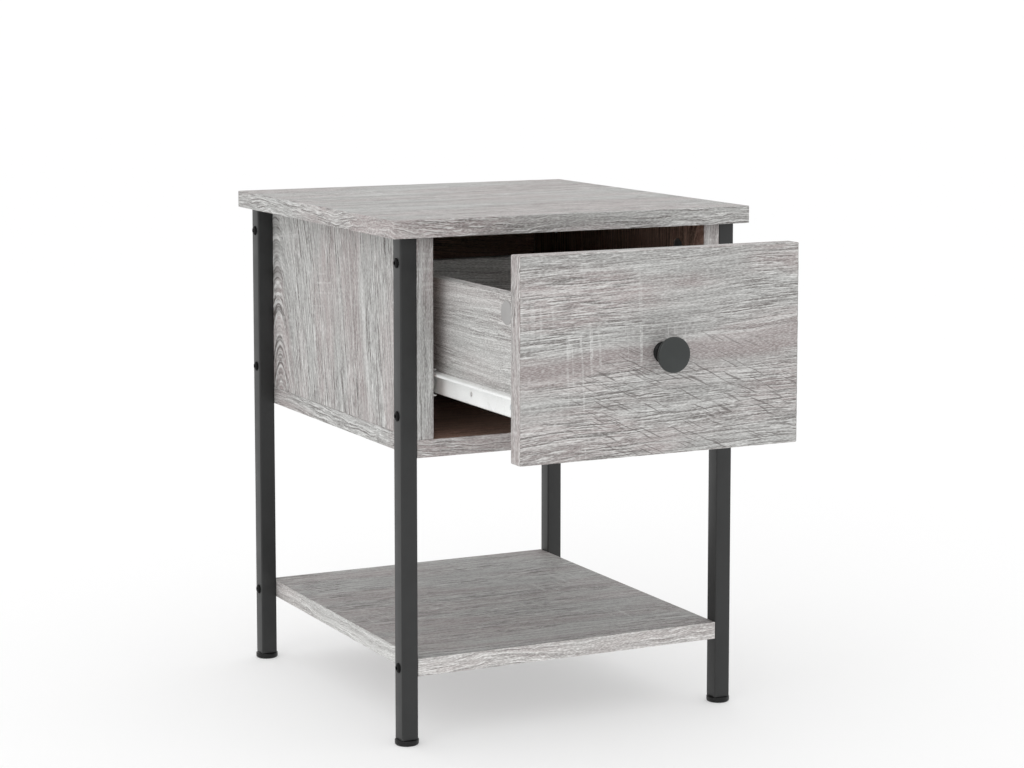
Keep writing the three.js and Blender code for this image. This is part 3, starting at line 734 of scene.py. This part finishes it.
def coated(name):
    """Lacquer, powder coat, enamel or moulded plastic: a mottled colour and a fine orange-peel relief."""
    made, tree, shader = new_material(name)
    if tree is None:
        return made
    group, colour_name, roughness, grain, relief, mottle, level, metallic = COATS[name]
    tone = getattr(settings(group), colour_name)
    cloud = object_noise(tree, 35.0, 3.0)
    speck = object_noise(tree, grain, 2.0)
    light = rgba([min(c * (1 + mottle), 1.0) for c in tone])
    dark = rgba([c * (1 - mottle) for c in tone])
    base = mix(tree, ramp(tree, cloud, 0.35, 0.65), dark, light)
    base = mix(tree, ramp(tree, speck, 0.60, 0.75, 0.0, 0.35), base, rgba([c * 1.5 for c in tone]))
    tree.links.new(base, shader.inputs["Base Color"])
    worn = ramp(tree, cloud, 0.3, 0.7, roughness - 0.05, roughness + 0.05)
    tree.links.new(worn, shader.inputs["Roughness"])
    shader.inputs["Metallic"].default_value = metallic
    shader.inputs["Specular IOR Level"].default_value = level
    bump(tree, shader, speck, relief, 0.05 * MM)
    return made


def hardboard():
    """Printed hardboard with a faint grain along the drawer's depth."""
    made, tree, shader = new_material("printed_hardboard")
    if tree is None:
        return made
    place = add(tree, "ShaderNodeTexCoord").outputs["Object"]
    stretched = add(tree, "ShaderNodeMapping", {"Vector": place, "Scale": (420.0, 24.0, 420.0)})
    fibre = add(tree, "ShaderNodeTexNoise", {
        "Vector": stretched.outputs[0], "Scale": 1.0, "Detail": 3.0,
    }).outputs["Fac"]
    tone = settings("boards").print_grey
    dark = rgba([c * 0.74 for c in tone])
    light = rgba([c * 1.16 for c in tone])
    base = mix(tree, ramp(tree, fibre, 0.32, 0.66), dark, light)
    tree.links.new(base, shader.inputs["Base Color"])
    shader.inputs["Roughness"].default_value = 0.66
    bump(tree, shader, fibre, 0.25, 0.08 * MM)
    return made


def give(node, material):
    """Gives a carried-over node its finish."""
    obj = frame["nodes"][node]
    obj.data.materials.clear()
    obj.data.materials.append(material)


# ---- pieces

def oak_board(name, node, grain, thin, face, band, inner=None, slot="oak_board", **shape):
    """Board with its own oak figures: one for the faces, one for the bands, and one in dark brown that
    paints the shade on a face in the box.
    """
    materials = [oak(name + "_face", **face), oak(name + "_band", **band), glue_line()]
    if inner:
        materials.append(painted_shade_face(name + "_inside", *inner))
    board(name, node, grain, thin, materials, slot, **shape)


class TopBoardOperator(bpy.types.Operator):
    """The top board, with its grain from left to right"""

    bl_idname = "side_table.top_board"
    bl_label = "Top Board"

    def execute(self, context):
        face = dict(heart=(0.05, 0.26), turn=-2, rise=0.05, seed=2.0, saw=0.7, tint=0.90)
        band = lively((0.4, 0.06), rise=0.02, seed=5.0, saw=0.2)
        oak_board("oak_top", "top_board", 0, 2, face, band)
        return {"FINISHED"}


class BoxPanelsOperator(bpy.types.Operator):
    """The box's two sides, its floor and its back"""

    bl_idname = "side_table.box_panels"
    bl_label = "Box Panels"

    def execute(self, context):
        # Each panel's face inside the box (inner) takes the dark brown figure of painted shade.
        for side in SIDES:
            sign = SIDE_SIGN[side]
            face = dict(heart=(-0.22, 0.125), turn=-5, rise=0.20, seed=11.0, saw=0.5,
                        saw_patch=(0.0, -0.135, 1.0), depth=1.2)
            # The left panel's bands are darkened to 0.86 as painted shade on its front edge beside the open
            # drawer; the right panel's bands are not darkened.
            band = lively((0.3, 0.05), seed=14.0, saw=0.4, tint=0.86 if side == "left" else 1.03)
            holes = []
            for end in ENDS:
                low, high, centre = span("top_cam_" + end + "_" + side)
                centre[0] = (low[0] if sign > 0 else high[0]) - sign * 0.4 * MM
                holes.append((centre, (sign, 0, 0), (high[2] - low[2]) / 2 + 0.3 * MM, 13 * MM))
            oak_board("oak_side_" + side, "side_panel_" + side, 2, 0, face, band,
                      inner=((0.1, 0.2), 17.0), inside=-int(sign), main=int(sign), holes=holes)
        face = dict(heart=(0.1, 0.22), rise=0.06, wave=0.02, seed=21.0)
        band = lively((0.2, 0.045), seed=24.0, saw=0.3)
        oak_board("oak_box_floor", "bottom_panel", 0, 2, face, band, inner=((0.0, 0.2), 27.0), inside=1)
        face = dict(heart=(0.02, -0.20), rise=0.05, seed=31.0)
        band = lively((0.2, 0.05), seed=34.0, saw=0.3)
        oak_board("oak_back", "back_panel", 0, 1, face, band, inner=((0.0, 0.2), 37.0), inside=-1)
        return {"FINISHED"}


class ShelfOperator(bpy.types.Operator):
    """The low shelf"""

    bl_idname = "side_table.shelf"
    bl_label = "Low Shelf"

    def execute(self, context):
        # The face's tint of 0.77 is painted shade from the box above the shelf; the bands' tint of 1.3 is
        # painted light from the floor's bounce.
        face = dict(heart=(-0.05, 0.24), turn=2, rise=0.07, seed=41.0, saw=0.6, depth=1.15, tint=0.77)
        band = lively((0.3, 0.04), wave=0.035, seed=44.0, saw=0.1, rosy=0.5, depth=0.75, tint=1.3)
        oak_board("oak_shelf", "lower_shelf", 0, 2, face, band)
        return {"FINISHED"}


class LegsOperator(bpy.types.Operator):
    """The four square tubes: a square with round corners, carried up Z and drawn in at both ends"""

    bl_idname = "side_table.legs"
    bl_label = "Legs"

    def execute(self, context):
        corner = settings("metals").tube_corner
        for side in SIDES:
            for end in ENDS:
                node = "leg_" + end + "_" + side
                low, high, middle = span(node)
                half = (high - low) / 2
                centres, outward = rounded_rectangle(half[0], half[1], corner, 5)
                lip = 0.25 * MM
                levels = np.array([(lip, low[2]), (0, low[2] + lip), (0, low[2] + 4 * lip),
                                   (0, high[2] - 4 * lip), (0, high[2] - lip), (lip, high[2])])
                plan = centres + (corner - levels[:, 0, None, None]) * outward + middle[:2]
                tall = np.broadcast_to(levels[:, 1, None, None], plan.shape[:2] + (1,))
                surface = skin(np.concatenate([plan, tall], -1))
                place_piece("steel_" + node, node, surface, [coated("black_powder_coat")])
        return {"FINISHED"}


class GlidesOperator(bpy.types.Operator):
    """The four round glides: a profile with two rounded rims, turned about Z"""

    bl_idname = "side_table.glides"
    bl_label = "Glides"

    def execute(self, context):
        for side in SIDES:
            for end in ENDS:
                node = "glide_" + end + "_" + side
                low, high, middle = span(node)
                radius = (high[0] - low[0]) / 2
                top = span("leg_" + end + "_" + side)[0][2]
                foot, rim, step, core = 1.7 * MM, 0.7 * MM, 0.2 * MM, 0.4 * MM
                profile = np.vstack([
                    [(core, 0), (radius - foot - 0.5 * MM, 0)],
                    arc((radius - foot, foot), foot, -90, 0, 6),
                    arc((radius - rim, top - rim - step), rim, 0, 90, 4),
                    [(radius - 1.6 * MM, top - step), (radius - 1.9 * MM, top), (core, top)],
                ])
                surface = turned(profile, 64, (middle[0], middle[1], low[2]), (0, 0, 1))
                place_piece("plastic_" + node, node, surface, [coated("glide_moulding")])
        return {"FINISHED"}


def socket_screw(centre, axis, head_radius, head_height):
    """Domed screw with a six-sided socket.

    The dome is half an ellipsoid on a short straight edge, and the socket's rings follow a hexagon:
    the flat distance divided by the cosine of the angle to the nearest flat.
    """
    style = settings("metals")
    points = 48
    angle = np.linspace(0, 2 * pi, points, endpoint=False)
    hexagon = style.socket / np.cos((angle + pi / 6) % (pi / 3) - pi / 6)
    edge = 0.5 * MM
    rise = head_height - edge

    def dome(radius):
        share = np.clip(radius / head_radius, 0, 1)
        return edge + rise * np.sqrt(np.clip(1 - share ** 2, 0, 1))

    floor = np.full(points, 0.45 * MM)
    rings = [(hexagon * 0.15, floor), (hexagon * 0.96, floor), (hexagon, floor + 0.06 * MM),
             (hexagon, dome(hexagon) - 0.1 * MM), (hexagon + 0.1 * MM, dome(hexagon + 0.1 * MM))]
    for share in (0.56, 0.7, 0.82, 0.91, 0.97, 1.0):
        radius = np.full(points, head_radius * share)
        rings.append((radius, dome(radius)))
    for radius, height in (
        (head_radius, 0.15 * MM), (head_radius - 0.15 * MM, 0.0), (style.shank, 0.0),
        (style.shank, -12 * MM),
    ):
        rings.append((np.full(points, radius), np.full(points, height)))
    axis = np.asarray(axis, float)
    up = np.array([0.0, 0.0, 1.0])
    other = np.cross(axis, up)
    circle = np.cos(angle)[:, None] * up + np.sin(angle)[:, None] * other
    stack = [radius[:, None] * circle + height[:, None] * axis for radius, height in rings]
    return skin(np.array(stack) + np.asarray(centre, float))


class LegScrewsOperator(bpy.types.Operator):
    """The black screws through the tubes"""

    bl_idname = "side_table.leg_screws"
    bl_label = "Leg Screws"

    def execute(self, context):
        for side in SIDES:
            sign = SIDE_SIGN[side]
            for end in ENDS:
                tube = span("leg_" + end + "_" + side)
                face = tube[1][0] if sign > 0 else tube[0][0]
                for height in HEIGHTS:
                    node = "leg_screw_" + end + "_" + side + "_" + height
                    low, high, centre = span(node)
                    radius = (high[2] - low[2]) / 2
                    proud = high[0] - face if sign > 0 else face - low[0]
                    centre[0] = face
                    surface = socket_screw(centre, (sign, 0, 0), radius, proud)
                    place_piece("steel_" + node, node, surface, [coated("black_oxide")])
        return {"FINISHED"}


class DrawerFrontOperator(bpy.types.Operator):
    """The drawer's front board"""

    bl_idname = "side_table.drawer_front"
    bl_label = "Drawer Front"

    def execute(self, context):
        face = dict(heart=(-0.02, -0.30), turn=-2, rise=0.16, wave=0.010, seed=51.0, saw=0.5, rosy=0.85,
                    streak=(0.001, 0.055, 1.0), fleck=(0.022, -0.040, 1.0), fleck_slant=26,
                    saw_patch=(-0.03, 0.008, 0.9), tint=0.97)
        band = lively((0.2, 0.05), seed=54.0, saw=0.2)
        oak_board("oak_drawer_front", "drawer_front", 0, 1, face, band, main=-1)
        return {"FINISHED"}


class DrawerBoxOperator(bpy.types.Operator):
    """The drawer's sides, back and bottom"""

    bl_idname = "side_table.drawer_box"
    bl_label = "Drawer Box"

    def execute(self, context):
        for side in SIDES:
            face = dict(heart=(0.0, 0.13), rise=0.08, seed=61.0, saw=0.2, rosy=0.4, depth=0.6, tint=1.13)
            band = dict(heart=(0.2, 0.04), rise=0.03, wave=0.01, seed=64.0, saw=0.0, rosy=0.4)
            oak_board("oak_drawer_side_" + side, "drawer_side_" + side, 1, 0, face, band,
                      slot="drawer_board", main=int(SIDE_SIGN[side]))
        face = dict(heart=(0.05, 0.1), rise=0.08, seed=71.0, saw=0.2, rosy=0.4, depth=0.6)
        band = dict(heart=(0.2, 0.04), rise=0.03, wave=0.01, seed=74.0, saw=0.0, rosy=0.4)
        oak_board("oak_drawer_back", "drawer_back", 0, 1, face, band, slot="drawer_board")
        give("drawer_bottom", hardboard())
        return {"FINISHED"}


class KnobOperator(bpy.types.Operator):
    """The mushroom knob: a profile of five arcs and a shallow dome, turned about Y"""

    bl_idname = "side_table.knob"
    bl_label = "Knob"

    def execute(self, context):
        style = settings("metals")
        low, high, centre = span("drawer_knob")
        radius = (high[0] - low[0]) / 2
        neck, rim = style.neck, style.knob_rim
        foot, foot_edge = 7.9 * MM, 0.6 * MM
        back, dome = 0.4 * MM, 0.5 * MM
        face = high[1] - low[1] - 0.55 * MM
        profile = np.vstack([
            [(0.4 * MM, 0), (foot, 0)],
            arc((foot, foot_edge), foot_edge, -90, 60, 4),
            arc((neck + 4.4 * MM, 5.6 * MM), 5.1 * MM, 235, 180, 6),
            arc((neck + 5.0 * MM, 9.6 * MM), 5.7 * MM, 170, 112, 6),
            arc((radius - rim - back, face - rim - 0.9 * MM), rim + back, -52, 0, 5),
            arc((radius - rim, face - rim), rim, 0, 86, 7),
            [(radius * share, face + dome * (1 - share ** 2)) for share in (0.8, 0.55, 0.3, 0.03)],
        ])
        centre[1] = high[1]
        surface = turned(profile, 96, centre, (0, -1, 0))
        obj = place_piece("lacquered_knob", "drawer_knob", surface,
                       [coated("grey_lacquer"), coated("black_lacquer")])
        # Faces more than 4.2 mm behind the knob's front, its neck and the underside of its head, take the
        # second, black lacquer: painted shade.
        middles = np.empty(3 * len(obj.data.polygons), np.float32)
        obj.data.polygons.foreach_get("center", middles)
        painted_shade_faces = middles.reshape(-1, 3)[:, 1] > low[1] + 4.2 * MM
        obj.data.polygons.foreach_set("material_index", painted_shade_faces.astype(np.int32))
        give("knob_screw", coated("zinc_plate"))
        return {"FINISHED"}


def pressed_sheet(path, bend, thick):
    """Closed outline of a bent sheet: the path's corners become arcs, and each point is offset both ways.

    path holds the [outward, up] points of the sheet's middle line.
    """
    path = np.asarray(path, float)
    points = [path[:1]]
    for before, here, after in zip(path[:-2], path[1:-1], path[2:]):
        back = (before - here) / np.linalg.norm(before - here)
        on = (after - here) / np.linalg.norm(after - here)
        middle = here + (back + on) * bend
        share = np.linspace(0, pi / 2, 6)[:, None]
        points.append(middle - bend * (np.cos(share) * on + np.sin(share) * back))
    points = np.vstack(points + [path[-1:]])
    along = np.gradient(points, axis=0)
    along /= np.linalg.norm(along, axis=1, keepdims=True)
    across = np.stack([-along[:, 1], along[:, 0]], -1) * thick / 2
    return np.vstack([points + across, (points - across)[::-1]])


def rivet(near, far):
    """Profile of an axle from its web: a shoulder, a pin through the roller and a head with a round edge.

    near and far are the roller's two faces, measured from the web.
    """
    style = settings("metals")
    play, sunk, core, edge = 0.2 * MM, 0.3 * MM, 0.3 * MM, 0.35 * MM
    start, reach = near - play, far + play
    tip = reach + 0.5 * MM
    return np.vstack([
        [(core, -sunk), (style.shoulder, -sunk), (style.shoulder, start)],
        [(style.axle, start), (style.axle, reach), (style.axle_head, reach)],
        arc((style.axle_head - edge, tip - edge), edge, 0, 90, 3),
        [(core, tip)],
    ])


def slide_member(kind, side, path, web, holes):
    """One steel member: its section carried along Y, round holes in its web, and its roller's axle.

    path and web are measured outwards from the drawer's side, and the axle grows from the web towards
    the roller.
    """
    style = settings("metals")
    sign = SIDE_SIGN[side]
    node = kind + "_slide_" + side
    low, high, _ = span(node)
    roller = kind + "_roller_" + side
    wheel = span(roller)[2]
    origin = drawer_wall(side)
    outline = pressed_sheet(path, style.bend, style.sheet)
    places = np.array([low[1], low[1] + 0.2 * MM, high[1] - 0.2 * MM, high[1]])
    rings = np.zeros((len(places), len(outline), 3))
    rings[..., 0] = sign * (origin + outline[:, 0])
    rings[..., 1] = places[:, None]
    rings[..., 2] = outline[:, 1]
    name = kind + "_slide_steel_" + side
    enamel = [coated("white_enamel")]
    obj = place_piece(name, node, skin(rings), enamel)
    drill(obj, [
        ((sign * (origin + web - style.sheet), low[1] + place, wheel[2]), (sign, 0, 0),
         style.slide_hole, 2.5 * style.sheet)
        for place in holes
    ])
    inner, outer = (place - web for place in reach_of(roller, side)[:2])
    towards = 1 if inner > 0 else -1
    near, far = sorted((abs(inner), abs(outer)))
    place = (sign * (origin + web), wheel[1], wheel[2])
    surface = turned(rivet(near, far), 40, place, (sign * towards, 0, 0))
    place_piece(name + "_axle", node, surface, enamel)


def drawer_wall(side):
    """Distance of the outer face of the drawer's side from the table's middle."""
    low, high, _ = span("drawer_side_" + side)
    return max(abs(low[0]), abs(high[0]))


def reach_of(node, side):
    """How far a node on one side starts and ends, outwards from the drawer's side."""
    low, high, _ = span(node)
    near, far = sorted((abs(low[0]), abs(high[0])))
    return near - drawer_wall(side), far - drawer_wall(side), low[2], high[2]


class SlidesOperator(bpy.types.Operator):
    """The slides' steel members and nylon rollers"""

    bl_idname = "side_table.slides"
    bl_label = "Slides"

    def execute(self, context):
        style = settings("metals")
        half = style.sheet / 2
        for side in SIDES:
            inner, outer, low, high = reach_of("drawer_slide_" + side, side)
            path = [(inner, low + half), (half, low + half), (half, high - half),
                    (outer - half, high - half), (outer - half, high - half - style.lip)]
            slide_member("drawer", side, path, style.sheet, DRAWER_SLIDE_HOLES)
            inner, outer, low, high = reach_of("cabinet_slide_" + side, side)
            path = [(inner, high - half), (outer - half, high - half), (outer - half, low + half),
                    (inner, low + half)]
            slide_member("cabinet", side, path, outer - style.sheet, CABINET_SLIDE_HOLES)
            for kind in ("cabinet_roller_", "drawer_roller_"):
                self.roller(kind + side)
        return {"FINISHED"}

    def roller(self, node):
        """Nylon wheel turned about X: rounded rims, a shallow recess in each face and a bore."""
        style = settings("plastics")
        low, high, centre = span(node)
        radius, wide = (high[2] - low[2]) / 2, high[0] - low[0]
        rim, bore, dish = style.rim, style.bore, style.dish
        recess = [(4.2 * MM, 0), (4.5 * MM, dish), (6.6 * MM, dish), (6.9 * MM, 0)]
        profile = np.vstack([
            [(bore, 0)], recess,
            arc((radius - rim, rim), rim, -90, 0, 5),
            arc((radius - rim, wide - rim), rim, 0, 90, 5),
            [(out, wide - deep) for out, deep in reversed(recess)], [(bore, wide)],
        ])
        centre[0] = low[0]
        surface = turned(profile, 72, centre, (1, 0, 0), "joined")
        place_piece("nylon_" + node, node, surface, [coated("white_nylon")])


class CamCapsOperator(bpy.types.Operator):
    """The round covers over the drawer's cams: discs with a quarter-round edge, turned about X"""

    bl_idname = "side_table.cam_caps"
    bl_label = "Cam Covers"

    def execute(self, context):
        for side in SIDES:
            node = "drawer_cam_cap_" + side
            low, high, centre = span(node)
            sign = SIDE_SIGN[side]
            radius, thick = (high[2] - low[2]) / 2, high[0] - low[0]
            core, edge = 0.3 * MM, 0.35 * MM
            profile = np.vstack([
                [(core, 0), (radius, 0)],
                arc((radius - edge, thick - edge), edge, 0, 90, 4),
                [(radius * 0.5, thick), (core, thick)],
            ])
            centre[0] = low[0] if sign > 0 else high[0]
            surface = turned(profile, 64, centre, (sign, 0, 0))
            place_piece("plastic_" + node, node, surface, [coated("cap_moulding")])
        return {"FINISHED"}


class FittingsOperator(bpy.types.Operator):
    """The zinc-plated cams, cam bolts and slide screws"""

    bl_idname = "side_table.fittings"
    bl_label = "Fittings"

    def execute(self, context):
        zinc = coated("zinc_plate")
        for node, obj in frame["nodes"].items():
            if not obj.hide_render and ("cam" in node or "slide_screw" in node):
                give(node, zinc)
        return {"FINISHED"}


# ---- stage

FLOOR_RADII = (0.002, 1.0, 6.0, 60.0)
FLOOR_GAP = 0.05 * MM
KEY_PLACE = (-1.9, -1.5, 2.1)
KEY_AIM = (0, 0, 0.2)
KEY_SIZE = 1.6
CAMERA_PLACE = (-1.03266, -2.04233, 0.63422)
CAMERA_DIP = 0.11189
CAMERA_TURN = -0.46279
CAMERA_LENS = 91.9
CAMERA_SHIFT = -0.1


def area_light(name, place, aim, size, power):
    """Square area light that shines from a place towards a point."""
    data = bpy.data.lights.new(name, "AREA")
    data.shape = "SQUARE"
    data.size = size
    data.energy = power
    obj = bpy.data.objects.new(name, data)
    obj.location = place
    obj.rotation_euler = (Vector(aim) - Vector(place)).to_track_quat("-Z", "Y").to_euler()
    bpy.context.scene.collection.objects.link(obj)


class StageOperator(bpy.types.Operator):
    """The floor, the studio light and the camera"""

    bl_idname = "side_table.stage"
    bl_label = "Stage"

    def execute(self, context):
        style = settings("stage")
        scene = context.scene
        scene.view_settings.view_transform = "Standard"
        world = bpy.data.worlds.new("studio")
        world.use_nodes = True
        sky = world.node_tree.nodes["Background"]
        sky.inputs[0].default_value = WHITE
        sky.inputs[1].default_value = style.sky
        scene.world = world

        level = CAD_BOX[0].z - FLOOR_GAP
        angle = np.linspace(0, 2 * pi, 96, endpoint=False)
        circle = np.stack([np.cos(angle), np.sin(angle), 0 * angle], -1)
        rings = np.array(FLOOR_RADII)[:, None, None] * circle + (0, 0, level)
        verts, faces = skin(rings)
        floor = build_piece("studio_floor", verts, faces[:-1], [self.floor_paint(style.floor)])

        area_light("key_light", KEY_PLACE, KEY_AIM, KEY_SIZE, style.key)
        self.camera(scene)
        return {"FINISHED"}

    def floor_paint(self, tone):
        """Matt paint with a very faint cloud in it, lit a little from within."""
        made, tree, shader = new_material("studio_floor")
        cloud = object_noise(tree, 2.0, 2.0)
        base = mix(tree, cloud, rgba([c * 0.995 for c in tone]), rgba(tone))
        tree.links.new(base, shader.inputs["Base Color"])
        shader.inputs["Roughness"].default_value = 0.9
        shader.inputs["Specular IOR Level"].default_value = 0.1
        shader.inputs["Emission Color"].default_value = WHITE
        shader.inputs["Emission Strength"].default_value = settings("stage").glow
        return made

    def camera(self, scene):
        """Long lens at the left of the front, a little above the top, looking slightly down."""
        data = bpy.data.cameras.new("camera")
        data.sensor_width = 36.0
        data.lens = CAMERA_LENS
        data.shift_y = CAMERA_SHIFT
        data.clip_start = 0.05
        data.clip_end = 200.0
        data.dof.use_dof = False
        obj = bpy.data.objects.new("camera", data)
        obj.location = CAMERA_PLACE
        obj.rotation_euler = (pi / 2 - CAMERA_DIP, 0.0, CAMERA_TURN)
        scene.collection.objects.link(obj)
        scene.camera = obj


class SideTablePanel(bpy.types.Panel):
    """Lists the table's pieces and settings in the sidebar"""

    bl_label = "Side Table"
    bl_idname = "VIEW3D_PT_side_table"
    bl_space_type = "VIEW_3D"
    bl_region_type = "UI"
    bl_category = "Side Table"

    def draw(self, context):
        for operator in OPERATORS:
            self.layout.operator(operator.bl_idname)
        for part in GROUPS:
            box = self.layout.box()
            group = settings(part)
            for name in group.bl_rna.properties.keys():
                if name not in ("rna_type", "name"):
                    box.prop(group, name)


GROUPS = {
    "boards": BoardSettings,
    "metals": MetalSettings,
    "plastics": PlasticSettings,
    "stage": StageSettings,
}
OPERATORS = (
    StageOperator,
    TopBoardOperator,
    BoxPanelsOperator,
    ShelfOperator,
    LegsOperator,
    GlidesOperator,
    LegScrewsOperator,
    DrawerFrontOperator,
    DrawerBoxOperator,
    KnobOperator,
    SlidesOperator,
    CamCapsOperator,
    FittingsOperator,
)


def register():
    """Registers the settings, the operators and the panel."""
    for cls in (*GROUPS.values(), *OPERATORS, SideTablePanel):
        bpy.utils.register_class(cls)
    for part, cls in GROUPS.items():
        setattr(bpy.types.Scene, "side_table_" + part, bpy.props.PointerProperty(type=cls))


def unregister():
    """Takes them away again."""
    for part in GROUPS:
        delattr(bpy.types.Scene, "side_table_" + part)
    for cls in reversed((*GROUPS.values(), *OPERATORS, SideTablePanel)):
        bpy.utils.unregister_class(cls)


def main():
    """Builds every piece in order."""
    register()
    for operator in OPERATORS:
        group, name = operator.bl_idname.split(".")
        getattr(getattr(bpy.ops, group), name)()
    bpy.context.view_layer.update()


if __name__ == "__main__":
    main()
